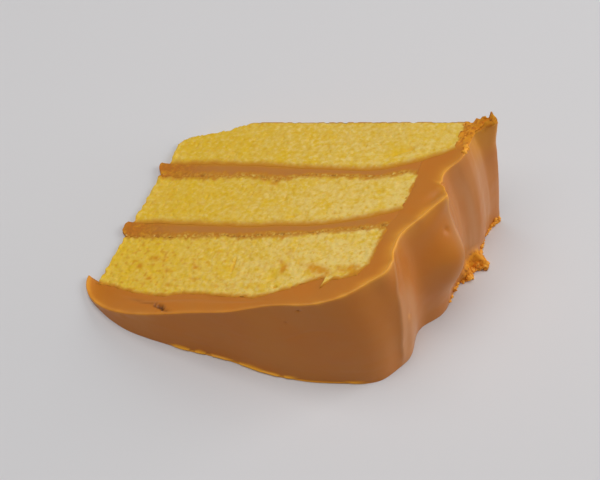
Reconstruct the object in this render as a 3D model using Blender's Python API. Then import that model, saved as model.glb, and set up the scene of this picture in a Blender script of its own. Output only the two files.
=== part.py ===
"""Slice of a three-layer yellow cake with caramel filling and icing, lying on one cut face.

The slice is a thin wedge of a round cake. It is measured as the cake was built:
r is the distance from the cake's axis and k the height above the cake's base, and
s runs from 0 at the cut face that the slice lies on to 1 at the cut face that looks up.
The axis lies on the floor along Y. The cake's base looks towards +Y, its iced top
towards -Y, and its iced side towards +X.

Lengths are in metres, and the frame's origin is below the middle of the slice.
"""

import math

import bmesh
import bpy
import numpy as np
from mathutils import Matrix, Vector, noise

MM = 0.001
GAP = 0.3 * MM

# The wedge and its place: the cake's axis and base plane in the part's frame
WEDGE_ANGLE = math.radians(23.8)
TIP_THICKNESS = 1.3 * MM
AXIS_X = -55.66 * MM
BASE_Y = 42.14 * MM

# The three layers: heights where they are level, and radii of their outer ends
BASE_TOP = 19.2 * MM
MIDDLE_BOTTOM = 25.6 * MM
MIDDLE_TOP = 45.5 * MM
UPPER_BOTTOM = 51.8 * MM
UPPER_TOP = 73.4 * MM
UPPER_END = 94.7 * MM
MIDDLE_END = 97.0 * MM
BASE_END = 105.8 * MM
LAYER_TIP = 1.5 * MM
LOWER_FILLING_TIP = 0.9 * MM
UPPER_FILLING_TIP = -0.6 * MM

# How their borders leave level: how deep, and from which radius to which
BASE_RISE, BASE_RISE_SPAN = 1.9 * MM, (20 * MM, 70 * MM)
BASE_DROOP = (80 * MM, 105 * MM, 9.0 * MM, 1.6)
MIDDLE_SETTLE, MIDDLE_SETTLE_SPAN = 2.0 * MM, (8 * MM, 58 * MM)
MIDDLE_SAG, MIDDLE_SAG_PLACE = 1.9 * MM, (48 * MM, 6 * MM)
PRESSED_EDGE, PRESSED_EDGE_PLACE = 2.2 * MM, (93 * MM, 6 * MM)
MIDDLE_FALL, MIDDLE_FALL_SPAN = 1.0 * MM, (45 * MM, 62 * MM)
MIDDLE_DROOP = (66 * MM, 97 * MM, 7.7 * MM, 1.5)
UPPER_SETTLE, UPPER_SETTLE_SPAN = 2.0 * MM, (8 * MM, 42 * MM)
UPPER_DROOP = (48 * MM, 94 * MM, 6.2 * MM, 1.1)
DOME, DOME_PLACE = 1.9 * MM, (24 * MM, 11 * MM)
TIP_SINK, TIP_SINK_WIDTH = 1.3 * MM, 8 * MM
SHOULDER_FALL, SHOULDER_FALL_SPAN = 11.5 * MM, (58 * MM, 90 * MM)

# The rounded upper edge of the top layer, and the heights where each layer's end steps in
UPPER_EDGE_INSET, UPPER_EDGE_SPAN = 3.0 * MM, (57 * MM, 62.5 * MM)
LAYER_STEP_SPAN = (38 * MM, 46 * MM)
BORE_TOP = 61.5 * MM
NOSE_OVERHANG = 3.0 * MM

# The corner that has crumbled away where the base meets the tip: radii and heights left bare
TORN_RADII = np.array([1.5, 2.8, 6.4, 13.5, 17.8, 22.0, 25.0, 27.0]) * MM
TORN_HEIGHTS = np.array([11.5, 8.8, 6.9, 5.0, 4.0, 2.6, 1.1, 0.0]) * MM
CRUMB_RELIEF = 0.5 * MM
CRUMB_SIZE = 7.0 * MM

# The icing's plain outline, before its ridges and hollows
CROWN_HEIGHT = 83.0 * MM
SHOULDER_RADIUS = 102.0 * MM
RIM_RADIUS = 110.0 * MM
SHOULDER_SQUARENESS = 5.0
NOSE_REACH = 22.8 * MM
NOSE_DROP = 12.5 * MM
NOSE_START = 20.0 * MM
TORN_CREST, TORN_CREST_SPAN = 5.2 * MM, 7 * MM

# Bumps round the icing: height at the lower cut face and at the upper one, place and width at
# the lower one and at the upper one. A place is the length along the outline from the rim.
ICING_BUMPS = (
    (0.0, -4.7, 100.0, 100.0, 17.0, 17.0),
    (3.0, 0.0, 71.0, 71.0, 9.0, 9.0),
    (1.6, 1.6, 61.0, 61.0, 4.5, 4.5),
    (-2.4, -3.7, 50.5, 48.0, 6.0, 7.5),
    (-1.0, -2.4, 22.5, 22.5, 4.5, 4.5),
    (0.9, 0.9, 13.5, 13.5, 4.0, 4.0),
)
CROWN_RISE, CROWN_START, CROWN_END = 1.3 * MM, (60 * MM, 75 * MM), (145 * MM, 165 * MM)
RIM_FLARE, RIM_FLARE_SPAN = (0.5 * MM, 4.1 * MM, 1.0 * MM), 6 * MM
RIM_FLARE_POWERS = (2.6, 6)

# The thick lip round the side: its crest's place, its height, and how it fades
LIP_CREST, LIP_CREST_RISE, LIP_CREST_SPAN = 40 * MM, 9.5 * MM, (0.3, 1.0)
LIP_HEIGHT, LIP_FULLNESS, LIP_POINT = 1.0 * MM, 5.5 * MM, 1.5 * MM
LIP_MIDDLE, LIP_NEAR, LIP_FAR, LIP_POINT_WIDTH = 0.58, 0.28, 0.17, 0.1
LIP_SLOPE, LIP_SLOPE_CHANGE, LIP_SLOPE_SPAN = 10 * MM, 5.3 * MM, (0.85, 1.0)
LIP_DROP, LIP_DROP_CHANGE, LIP_DROP_SPAN = 4.5 * MM, 2.1 * MM, (0.6, 0.95)

# Crumbs that cling to the icing's edge beside the floor: reach and place along the edge
CLINGING = ((7.4 * MM, 20.5 * MM), (3.7 * MM, 26.5 * MM))
CLINGING_WIDTH, CLINGING_RISE = 2.6 * MM, 0.16

# Cells of each solid along, down and across it, and the icing's cells up to two inner corners
LAYER_CELLS = (28, 5, 6)
FILLING_CELLS = (28, 1, 6)
ICING_CELLS = (84, 1, 16)
SHOULDER_SHARE = 55 / ICING_CELLS[0]
SHELF_SHARE = 78 / ICING_CELLS[0]

SPONGE_COLOUR = (0.64, 0.42, 0.08, 1.0)
FILLING_COLOUR = (0.45, 0.19, 0.04, 1.0)
ICING_COLOUR = (0.36, 0.14, 0.03, 1.0)


def smooth(x, start, end):
    """0 up to start and 1 past end, with an S-shaped rise between."""
    t = np.clip((x - start) / (end - start), 0.0, 1.0)
    return t * t * (3.0 - 2.0 * t)


def bump(x, centre, width):
    """A round bump 1 high, which fades within about twice its width."""
    return np.exp(-(((x - centre) / width) ** 2))


def droop(r, start, end, depth, power):
    """A fall from start outwards, depth deep at end."""
    return depth * np.clip((r - start) / (end - start), 0.0, None) ** power


def base_bottom(r):
    """Underside of the base layer: flat, with the torn corner at the tip."""
    return np.interp(r, TORN_RADII, TORN_HEIGHTS)


def base_top(r):
    """Top of the base layer, which falls away at its rounded outer edge."""
    return BASE_TOP + BASE_RISE * smooth(r, *BASE_RISE_SPAN) - droop(r, *BASE_DROOP)


def middle_bottom(r):
    """Underside of the middle layer, with a small sag and an edge pressed into the filling."""
    settle = MIDDLE_SETTLE * smooth(r, *MIDDLE_SETTLE_SPAN)
    sag = MIDDLE_SAG * bump(r, *MIDDLE_SAG_PLACE)
    return MIDDLE_BOTTOM - settle + sag - PRESSED_EDGE * bump(r, *PRESSED_EDGE_PLACE)


def middle_top(r):
    """Top of the middle layer."""
    return MIDDLE_TOP - MIDDLE_FALL * smooth(r, *MIDDLE_FALL_SPAN) - droop(r, *MIDDLE_DROOP)


def upper_bottom(r):
    """Underside of the top layer."""
    return UPPER_BOTTOM - UPPER_SETTLE * smooth(r, *UPPER_SETTLE_SPAN) - droop(r, *UPPER_DROOP)


def upper_top(r):
    """Top of the top layer, highest near the axis and low over the shoulder."""
    dome = DOME * bump(r, *DOME_PLACE) - TIP_SINK * bump(r, 0.0, TIP_SINK_WIDTH)
    return UPPER_TOP + dome - SHOULDER_FALL * smooth(r, *SHOULDER_FALL_SPAN)


def bore(k):
    """Radius of the icing's inner wall above the base layer, stepped in to each layer."""
    step = (MIDDLE_END - UPPER_END) * (1.0 - smooth(k, *LAYER_STEP_SPAN))
    return UPPER_END + step - UPPER_EDGE_INSET * smooth(k, *UPPER_EDGE_SPAN)


def place(r, k, s):
    """World places for the slice's own measures. The tip is blunt, TIP_THICKNESS high."""
    turn = s * WEDGE_ANGLE
    height = np.hypot(np.maximum(r, 0.0) * math.sin(WEDGE_ANGLE), TIP_THICKNESS)
    z = height * np.sin(turn) / math.sin(WEDGE_ANGLE)
    return np.stack([AXIS_X + r * np.cos(turn), BASE_Y - k, z], axis=-1)


def raised(border):
    """A border half the gap higher, so that a layer or filling stays clear of what is below."""
    return lambda r: border(r) + GAP / 2


def lowered(border):
    """A border half the gap lower, clear of what is above."""
    return lambda r: border(r) - GAP / 2


def between(u, w, bottom, top, tip, end):
    """(r, k) inside a layer: u runs from the tip to end, w from top down to bottom."""
    r = tip + u * (end - tip)
    return r, top(r) + w * (bottom(r) - top(r))


def layer_end(w, bottom, top):
    """Outer radius of a layer or filling at each of its heights, clear of the icing."""
    k = top(UPPER_END) + w * (bottom(UPPER_END) - top(UPPER_END))
    return bore(k) - GAP


def crumbs(points, u, s, lift):
    """Moves the cut face that looks up, and the tip, by the crumb's own unevenness."""
    for point, across, along in zip(points, s, u):
        grain = noise.noise(Vector((point[0], point[1], lift)) / CRUMB_SIZE)
        point[2] += CRUMB_RELIEF * grain * (across > 0.99)
        point[0] += 2.0 * CRUMB_RELIEF * abs(grain) * (along < 0.01)
    return points


def base_form(u, w, s):
    """Base layer, whose end stands out past the others."""
    r, k = between(u, w, base_bottom, lowered(base_top), LAYER_TIP, BASE_END - GAP)
    return crumbs(place(r, k, s), u, s, 0.0)


def middle_form(u, w, s):
    """Middle layer."""
    end = layer_end(w, middle_bottom, middle_top)
    r, k = between(u, w, raised(middle_bottom), lowered(middle_top), LAYER_TIP, end)
    return crumbs(place(r, k, s), u, s, 0.1)


def upper_form(u, w, s):
    """Top layer, with a rounded edge under the shoulder."""
    end = layer_end(w, upper_bottom, upper_top)
    r, k = between(u, w, raised(upper_bottom), upper_top, LAYER_TIP, end)
    return crumbs(place(r, k, s), u, s, 0.2)


def lower_filling_form(u, w, s):
    """Filling between the base and middle layers."""
    end = layer_end(w, base_top, middle_bottom)
    r, k = between(u, w, raised(base_top), lowered(middle_bottom), LOWER_FILLING_TIP, end)
    return place(r, k, s)


def upper_filling_form(u, w, s):
    """Filling between the middle and top layers."""
    end = layer_end(w, middle_top, upper_bottom)
    r, k = between(u, w, raised(middle_top), lowered(upper_bottom), UPPER_FILLING_TIP, end)
    return place(r, k, s)


def joined(*runs):
    """One path of (r, k) points and its length so far at each point."""
    path = np.concatenate([np.stack(np.broadcast_arrays(*run), axis=-1) for run in runs])
    steps = np.hypot(*np.diff(path, axis=0).T)
    return path, np.concatenate([[0.0], np.cumsum(steps)])


def plain_outline():
    """The icing's outer outline: a quarter ellipse at the nose, then a square-shouldered arch."""
    turn = np.linspace(math.pi, math.pi / 2, 60)
    low = CROWN_HEIGHT - NOSE_DROP
    nose = (NOSE_START + NOSE_REACH * np.cos(turn), low + NOSE_DROP * np.sin(turn))
    turn = np.linspace(math.pi / 2, 0.0, 2400)
    k = CROWN_HEIGHT * np.sin(turn) ** (2.0 / SHOULDER_SQUARENESS)
    reach = SHOULDER_RADIUS + (RIM_RADIUS - SHOULDER_RADIUS) * (1.0 - k / CROWN_HEIGHT)
    r = reach * np.cos(turn) ** (2.0 / SHOULDER_SQUARENESS)
    return joined(nose, (r[r > NOSE_START], k[r > NOSE_START]))


def inner_outline():
    """The icing's inner outline, clear of the layers: over the top layer, down the side
    and over the shelf of the base layer. It also gives the lengths at the shoulder and shelf."""
    over = np.linspace(LAYER_TIP - 2 * GAP, bore(UPPER_EDGE_SPAN[1]), 200)
    top = (over, upper_top(over) + GAP)
    start = (over[:1], top[1][:1] - NOSE_OVERHANG)
    shelf_r = np.linspace(MIDDLE_END, BASE_END, 40)
    shelf = (shelf_r, base_top(shelf_r) + GAP)
    down = np.linspace(BORE_TOP, shelf[1][0], 120)
    path, length = joined(start, top, (bore(down), down), shelf, (BASE_END, np.zeros(1)))
    shoulder = length[len(over)]
    foot = length[-2]
    return path, length, shoulder, foot


def swell(b, s):
    """The thick lip of icing round the side: a long rise to its crest and a steep fall below.
    It is fullest between the cut faces and comes to a point at the upper one."""
    crest = LIP_CREST - LIP_CREST_RISE * smooth(s, *LIP_CREST_SPAN)
    full = LIP_FULLNESS * bump(s, LIP_MIDDLE, np.where(s < LIP_MIDDLE, LIP_NEAR, LIP_FAR))
    height = LIP_HEIGHT + full + LIP_POINT * bump(s, 1.0, LIP_POINT_WIDTH)
    above = LIP_SLOPE - LIP_SLOPE_CHANGE * smooth(s, *LIP_SLOPE_SPAN)
    below = LIP_DROP - LIP_DROP_CHANGE * smooth(s, *LIP_DROP_SPAN)
    return height * bump(b, crest, np.where(b > crest, above, below))


def relief(b, s):
    """How far the icing stands out from its plain outline, b along it from the rim and s across."""
    out = CROWN_RISE * (1.0 - s) * smooth(b, *CROWN_START) * (1.0 - smooth(b, *CROWN_END))
    for low, high, low_place, high_place, low_width, high_width in ICING_BUMPS:
        centre = low_place + (high_place - low_place) * s
        width = low_width + (high_width - low_width) * s
        out = out + (low + (high - low) * s) * MM * bump(b, centre * MM, width * MM)
    always, upper, lower = RIM_FLARE
    upper_power, lower_power = RIM_FLARE_POWERS
    flare = always + upper * s**upper_power + lower * (1.0 - s) ** lower_power
    clinging = sum(reach * bump(b, centre, CLINGING_WIDTH) for reach, centre in CLINGING)
    out = out + flare * (1.0 - smooth(b, 0.0, RIM_FLARE_SPAN))
    return out + swell(b, s) + clinging * (1.0 - smooth(s, 0.0, CLINGING_RISE))


def icing_form(u, w, s):
    """The icing: u along it from nose to rim, w from its outside in."""
    path, length = plain_outline()
    along = np.gradient(path, length, axis=0)
    share = u * length[-1]
    r, k, slope_r, slope_k = (np.interp(share, length, column) for column in (*path.T, *along.T))
    out = relief(length[-1] - share, s)
    tilt = np.hypot(slope_r, slope_k)
    outer = np.stack([r - slope_k / tilt * out, np.maximum(k + slope_r / tilt * out, 0.0)])
    inner_path, inner_length, shoulder, foot = inner_outline()
    matched = np.interp(u, [0.0, SHOULDER_SHARE, SHELF_SHARE, 1.0], [0.0, shoulder, foot, inner_length[-1]])
    inner = np.stack([np.interp(matched, inner_length, column) for column in inner_path.T])
    points = place(*(outer + w * (inner - outer)), s)
    torn = (1.0 - w) * (1.0 - smooth(length[-1] - share, 0.0, TORN_CREST_SPAN)) * smooth(s, 0.8, 1.0)
    points[:, 2] += TORN_CREST * torn
    return points


def material(name, colour, roughness):
    """A plain surface of one colour."""
    made = bpy.data.materials.new(name)
    made.use_nodes = True
    surface = made.node_tree.nodes["Principled BSDF"]
    surface.inputs["Base Color"].default_value = colour
    surface.inputs["Roughness"].default_value = roughness
    surface.inputs["Metallic"].default_value = 0.0
    return made


def solid(name, cells, form, surface, parent):
    """One closed solid: a unit block cut into cells, its corners moved to their places by form."""
    mesh = bmesh.new()
    bmesh.ops.create_cube(mesh, size=1.0, matrix=Matrix.Translation((0.5, 0.5, 0.5)))
    for axis, count in enumerate(cells):
        for cut in range(1, count):
            middle = Vector((0.5, 0.5, 0.5))
            middle[axis] = cut / count
            normal = Vector((0.0, 0.0, 0.0))
            normal[axis] = 1.0
            everything = mesh.verts[:] + mesh.edges[:] + mesh.faces[:]
            bmesh.ops.bisect_plane(mesh, geom=everything, dist=1e-6, plane_co=middle, plane_no=normal)
    corners = np.array([vertex.co for vertex in mesh.verts], dtype=float)
    for vertex, spot in zip(mesh.verts, form(*corners.T)):
        vertex.co = spot
    data = bpy.data.meshes.new(name)
    mesh.to_mesh(data)
    mesh.free()
    data.shade_smooth()
    data.set_sharp_from_angle(angle=math.radians(40))
    data.materials.append(surface)
    made = bpy.data.objects.new(name, data)
    made.parent = parent
    bpy.context.scene.collection.objects.link(made)
    return made


def main():
    for old in list(bpy.data.objects):
        bpy.data.objects.remove(old, do_unlink=True)
    slice_root = bpy.data.objects.new("cake_slice", None)
    bpy.context.scene.collection.objects.link(slice_root)
    sponge = material("yellow sponge", SPONGE_COLOUR, 0.9)
    filling = material("caramel filling", FILLING_COLOUR, 0.6)
    icing = material("caramel icing", ICING_COLOUR, 0.45)
    solid("sponge_base", LAYER_CELLS, base_form, sponge, slice_root)
    solid("sponge_middle", LAYER_CELLS, middle_form, sponge, slice_root)
    solid("sponge_top", LAYER_CELLS, upper_form, sponge, slice_root)
    solid("filling_lower", FILLING_CELLS, lower_filling_form, filling, slice_root)
    solid("filling_upper", FILLING_CELLS, upper_filling_form, filling, slice_root)
    solid("icing", ICING_CELLS, icing_form, icing, slice_root)


main()
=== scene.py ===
"""Slice of a three-layer yellow cake with caramel filling and caramel icing, lying on one cut face.

The slice is measured as the cake was built: r is the distance from the cake's axis, k the height
above the cake's base, and s runs from 0 at the cut face on the floor to 1 at the cut face that
looks up. b is the length along the icing's outline, from its rim at the base. r, k and b are in
metres.
"""

import itertools
import math
from collections import namedtuple

import bpy
import numpy as np
from bpy.props import FloatProperty, FloatVectorProperty, IntProperty, PointerProperty
from mathutils import Matrix, Vector


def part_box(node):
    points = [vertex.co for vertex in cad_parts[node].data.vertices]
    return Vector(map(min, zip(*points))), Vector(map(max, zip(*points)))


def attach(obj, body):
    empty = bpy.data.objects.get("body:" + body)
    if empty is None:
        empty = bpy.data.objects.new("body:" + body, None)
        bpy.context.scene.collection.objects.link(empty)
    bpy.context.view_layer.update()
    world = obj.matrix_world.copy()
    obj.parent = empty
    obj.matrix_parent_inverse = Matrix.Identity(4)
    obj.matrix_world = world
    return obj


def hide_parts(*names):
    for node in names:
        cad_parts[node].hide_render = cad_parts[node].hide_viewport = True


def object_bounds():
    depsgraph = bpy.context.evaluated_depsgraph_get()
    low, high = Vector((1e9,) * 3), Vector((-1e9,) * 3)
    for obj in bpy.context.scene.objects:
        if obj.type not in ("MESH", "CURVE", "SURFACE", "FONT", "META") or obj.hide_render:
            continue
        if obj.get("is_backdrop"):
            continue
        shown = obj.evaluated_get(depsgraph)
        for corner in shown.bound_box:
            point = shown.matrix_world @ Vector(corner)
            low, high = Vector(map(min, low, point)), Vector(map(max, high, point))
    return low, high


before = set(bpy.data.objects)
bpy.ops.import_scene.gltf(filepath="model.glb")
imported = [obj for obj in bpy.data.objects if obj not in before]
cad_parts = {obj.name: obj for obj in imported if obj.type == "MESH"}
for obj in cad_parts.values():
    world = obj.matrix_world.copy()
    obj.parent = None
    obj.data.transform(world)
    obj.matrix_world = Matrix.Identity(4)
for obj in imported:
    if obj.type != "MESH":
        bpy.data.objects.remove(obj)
CAD_LOW, CAD_HIGH = (np.array(corner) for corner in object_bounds())

bl_info = {
    "name": "Layer cake slice",
    "version": (1, 0, 0),
    "blender": (4, 5, 0),
    "location": "View3D > Sidebar > Cake slice",
    "description": "Dresses the slice of layer cake with crumb, caramel filling and caramel icing",
    "category": "Add Mesh",
}

MM = 0.001
NOISE_CELLS, NOISE_SHIFT = 96, 64.0

# Cells of each piece along, down and across it
BASE_CELLS = (380, 80, 26)
LAYER_CELLS = (380, 84, 12)
FILLING_CELLS = (380, 18, 16)
ICING_CELLS = (420, 20, 80)
CRUMB_CELLS = (5, 5, 5)

# Shares of the icing's length at the two corners of its inner side
SHOULDER_SHARE = 55 / 84
SHELF_SHARE = 78 / 84

# How far the fillings and icing reach into the sponge, so that no gap opens along a ragged border
OVERLAP = 0.45 * MM

# The sponge stops this far above the filling at the floor, and the filling above the icing
LAYER_GAP = 0.03 * MM

# Radii where the three layers end, where they begin and how far the base layer's tip leans back
# from it, and the icing's clearance above the layers
UPPER_END, MIDDLE_END, BASE_END = 94.7 * MM, 97.0 * MM, 105.8 * MM
LAYER_TIP, BASE_TIP_LEAN = 1.5 * MM, 1.4 * MM
CLEARANCE = 0.3 * MM

# The icing's inner side: the radius where it starts, the height past which its bore is at its
# narrowest, and the height where the side turns down into the bore
INNER_START, BORE_NARROW, BORE_TOP = 0.9 * MM, 62.5 * MM, 61.5 * MM

# The icing's nose over the tip: where it starts, its reach and its drop
NOSE_START, NOSE_REACH, NOSE_DROP = 20.0 * MM, 22.8 * MM, 12.5 * MM

# The corner that has crumbled away where the base meets the tip: how high at each radius
TORN_RADII = np.array([1.5, 2.8, 6.4, 13.5, 17.8, 22.0, 25.0, 27.0]) * MM
TORN_HEIGHTS = np.array([11.5, 8.8, 6.9, 5.0, 4.0, 2.6, 1.1, 0.0]) * MM

# The tooth of sponge that reaches into the icing at the upper cut face, and the ledge beyond it
TOOTH_RADIUS, TOOTH_HEIGHT, TOOTH_LEAN = 83.2 * MM, 5.0 * MM, 1.7 * MM
TOOTH_FLANKS = (0.8 * MM, 2.1 * MM)
TOOTH_PROUD, LEDGE_SHARE = 0.35 * MM, 0.4

# Bumps round the icing in millimetres: the height, the place and the width of each, all three
# first at the lower cut face and then at the upper one
ICING_BUMPS = (
    (0.0, -4.7, 100.0, 100.0, 17.0, 17.0),
    (3.0, 0.0, 71.0, 71.0, 9.0, 9.0),
    (1.6, 1.6, 61.0, 61.0, 4.5, 4.5),
    (-2.4, -3.7, 50.5, 48.0, 6.0, 7.5),
    (-1.0, -2.4, 22.5, 22.5, 4.5, 4.5),
    (0.9, 0.9, 13.5, 13.5, 4.0, 4.0),
    (-1.7, -1.7, 118.0, 126.0, 13.0, 13.0),
)

# The crease between the icing's front and side: b at five places across it
CREASE_SHARES = [0.0, 0.26, 0.57, 0.8, 1.0]
CREASE_PLACES = np.array([63.8, 64.1, 62.4, 60.8, 57.0]) * MM

# Pits and dents in the icing's outside: how far out and b with its width in millimetres, then s
# with its width
OUTSIDE_MARKS = (
    (-0.55, 90.8, 0.6, 0.93, 0.012),
    (-0.35, 96.5, 0.5, 0.78, 0.01),
    (-0.3, 58.6, 0.7, 0.45, 0.035),
    (-0.5, 35.6, 0.9, 0.785, 0.02),
)

# Along the icing's cut edge: how strong its bead is, and how far its golden colour and painted
# highlight spread
BEAD_PLACES = np.array([0, 9, 14, 27, 40, 66, 90, 104, 150, 160, 178]) * MM
BEAD_STRENGTHS = [0.2, 0.3, 0.7, 0.8, 1, 1, 0.85, 0.4, 0.45, 0.8, 0.9]
GLOW_PLACES = np.array([10, 16, 30, 44, 66, 76, 92, 150, 165]) * MM
GLOW_STRENGTHS = [0.3, 0.8, 0.8, 0.9, 0.8, 0.35, 0.15, 0.1, 0.25]

# Torn crumb that stands up along the icing's rim at the upper cut face: how high at each share
# of the way in from its outside
HORN_SHARES = [0.0, 0.05, 0.1, 0.15, 0.2, 0.26, 0.33, 0.42, 0.5, 0.6, 0.75, 1.0]
HORN_HEIGHTS = np.array([2.4, 2.9, 3.7, 5.1, 2.2, 2.0, 3.1, 2.7, 1.7, 0.8, 0.4, 0.2]) * MM

# Where crumbs gather along the rim beside the floor, in millimetres, and their share at each
RIM_PLACES = [1.0, 3.5, 6.0, 12.5, 16.5, 19.5, 22.5, 26.0, 31.0, 36.5]
RIM_CHANCES = [0.12, 0.12, 0.09, 0.09, 0.13, 0.17, 0.13, 0.08, 0.05, 0.02]

# How many crumbs are strewn over the torn upper corner, and how many make the blob at its end
CORNER_CRUMBS, BLOB_CRUMBS = 42, 16

# The stage in metres: where the lights hang and their width, half the floor's width, and the
# point that the camera looks at
KEY_PLACE, SIDE_PLACE, LIGHT_SIZE = (-0.16, -0.03, 0.88), (0.78, 0.5, 0.5), 0.8
FLOOR_REACH = 3.0
LOOK_AT = (-1.56 * MM, 10.25 * MM, 0.0)

Mark = namedtuple("Mark", "r k wide high turn strength")


def marks(*rows, unit=1.0):
    """Marks on the upper cut face, from r, k, width and height in millimetres, a turn, and a
    strength counted in unit."""
    return [Mark(*(value * MM for value in row[:4]), row[4], row[5] * unit) for row in rows]


# Orange patches, where caramel has soaked in
STAINS = marks(
    (78.3, 61.3, 4.2, 1.4, 0.3, 1.2),
    (85.6, 60.2, 1.6, 1.2, 0.0, 0.7),
    (91.0, 61.2, 3.0, 1.8, 0.5, 1.4),
    (66.6, 61.6, 1.1, 1.5, 0.2, 1.0),
    (65.5, 55.3, 0.9, 0.8, 0.0, 0.8),
    (64.4, 59.0, 2.0, 0.6, 0.8, 0.5),
    (13.5, 63.8, 1.2, 0.9, 0.0, 1.1),
    (18.1, 60.3, 1.5, 1.1, 0.2, 0.6),
    (24.8, 64.8, 1.1, 1.0, 0.2, 0.6),
    (22.0, 61.0, 0.9, 0.8, 0.0, 0.6),
    (34.9, 63.1, 1.0, 0.8, 0.0, 0.6),
    (19.8, 68.5, 1.1, 0.6, 0.0, 0.6),
    (28.2, 70.6, 1.4, 0.8, 0.3, 0.5),
    (47.0, 27.0, 2.2, 0.9, 0.4, 0.5),
)

# Deeper yellow patches
DEEP_PATCHES = marks(
    (60.6, 39.4, 2.2, 1.8, 0.4, 0.9),
    (45.0, 63.2, 3.2, 2.2, 0.6, 0.9),
    (63.4, 64.0, 3.0, 3.0, 0.3, 0.9),
    (16.0, 36.0, 3.0, 3.4, 0.0, 0.4),
    (87.3, 13.0, 4.6, 1.7, -0.5, 1.1),
    (2.0, 59.0, 4.0, 4.0, 0.2, 0.4),
    (12.0, 62.0, 22.0, 12.0, 0.0, 0.4),
)

# Holes and cracks in the crumb, as deep as their strength in millimetres
PITS = marks(
    (87.3, 13.1, 4.4, 1.1, -0.5, 0.7),
    (90.4, 11.6, 1.5, 0.6, -0.5, 0.7),
    (48.2, 61.4, 2.9, 0.36, 1.4, 0.9),
    (66.2, 68.7, 0.6, 0.35, 0.0, 1.2),
    (64.0, 65.0, 1.9, 1.7, 0.3, 0.5),
    (60.6, 40.6, 1.0, 0.6, 0.0, 0.6),
    unit=MM,
)

# The hole and the streak in the icing's cut face, with their depths, then the hole's raised rim
# and a dent near the outer edge
CUT_HOLE, HOLE_DEPTH = marks((29.6, 79.3, 3.0, 0.62, 0.32, 1.0)), 1.3 * MM
CUT_STREAK, STREAK_DEPTH = marks((21.6, 77.8, 5.0, 0.3, 0.1, 1.0)), 0.25 * MM
CUT_RELIEF = marks((29.6, 79.3, 3.8, 1.3, 0.32, 0.3), (105.6, 31.0, 3.4, 1.6, -1.0, -0.8), unit=MM)


def smooth(x, start, end):
    """0 up to start and 1 past end, with the S-curve 3t^2 - 2t^3 between."""
    t = np.clip((x - start) / (end - start), 0.0, 1.0)
    return t * t * (3.0 - 2.0 * t)


def fade(x, start, end):
    """1 up to start and 0 past end, the S-curve turned round."""
    return 1.0 - smooth(x, start, end)


def bump(x, centre, width):
    """A round bump, e to the minus squared distance in widths."""
    return np.exp(-(((x - centre) / width) ** 2))


def rising(x, start, end):
    """The S-curve smooth along a length, with start and end in millimetres."""
    return smooth(x / MM, start, end)


def falling(x, start, end):
    """The S-curve fade along a length, with start and end in millimetres."""
    return fade(x / MM, start, end)


def hill(x, centre, width):
    """The round bump along a length, with centre and width in millimetres."""
    return bump(x / MM, centre, width)


def droop(r, start, end, depth, power):
    """A fall from start outwards, depth at end, as a power of the way; told in millimetres."""
    return depth * MM * np.clip((r / MM - start) / (end - start), 0.0, None) ** power


def spots(r, k, patches):
    """Sum of turned elliptical bumps, each its mark's strength high."""
    total = np.zeros_like(r)
    for mark in patches:
        along = (r - mark.r) * math.cos(mark.turn) + (k - mark.k) * math.sin(mark.turn)
        across = (k - mark.k) * math.cos(mark.turn) - (r - mark.r) * math.sin(mark.turn)
        total += mark.strength * np.exp(-((along / mark.wide) ** 2) - (across / mark.high) ** 2)
    return total


def noise_at(points, cell, seed):
    """Value noise from -1 to 1: a seeded random value at each corner of a cubic lattice, cell
    millimetres apart, blended along each axis with the S-curve 3t^2 - 2t^3."""
    table = np.random.default_rng(seed).random((NOISE_CELLS,) * 3)
    place = points / (cell * MM) + NOISE_SHIFT
    low = np.floor(place).astype(int)
    t = place - low
    t = t * t * (3.0 - 2.0 * t)
    total = np.zeros(len(points))
    for corner in itertools.product((0, 1), repeat=3):
        i, j, m = ((low + corner) % NOISE_CELLS).T
        weight = np.where(np.array(corner) == 1, t, 1.0 - t).prod(axis=1)
        total += weight * table[i, j, m]
    return 2.0 * total - 1.0


def lumps(points, *layers):
    """Sum of noises in metres: the height and lattice of each in millimetres, and its seed."""
    return sum(height * MM * noise_at(points, cell, seed) for height, cell, seed in layers)


def beside(first, second=0.0):
    """Points in a plane, from two coordinates, to read noise at."""
    return np.stack([first, first * 0.0 + second, first * 0.0], axis=-1)


def spread(t, tightness):
    """Even steps from 0 to 1 drawn closer together at both ends: t less a sine wave."""
    return t - tightness * np.sin(2.0 * math.pi * t)


def lattice(cells, tightness=(0.0, 0.0, 0.0)):
    """Closed shell of a unit block cut into cells: the u, w and s of its points, and its quads,
    which face outwards and share the points along every edge."""
    grids = np.indices([count + 1 for count in cells])
    last = np.array(cells).reshape(3, 1, 1, 1)
    shell = ((grids == 0) | (grids == last)).any(axis=0)
    index = np.zeros(shell.shape, int)
    index[shell] = np.arange(shell.sum())
    shares = [spread(grids[a][shell] / cells[a], tightness[a]) for a in range(3)]
    sides = (index[:, :, -1], index[:, :, 0].T, index[-1], index[0].T, index[:, -1].T, index[:, 0])
    quads = [
        np.stack([g[:-1, :-1], g[1:, :-1], g[1:, 1:], g[:-1, 1:]], axis=-1).reshape(-1, 4)
        for g in sides
    ]
    return (*shares, np.concatenate(quads))


def point_normals(points, quads):
    """Unit normal at each point: the sum of its quads' crossed diagonals, made one long."""
    corners = points[quads]
    facing = np.cross(corners[:, 2] - corners[:, 0], corners[:, 3] - corners[:, 1])
    shared = [np.bincount(quads.ravel(), np.repeat(facing[:, a], 4), len(points)) for a in range(3)]
    total = np.stack(shared, axis=-1)
    return total / np.linalg.norm(total, axis=1, keepdims=True).clip(1e-12)


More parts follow.
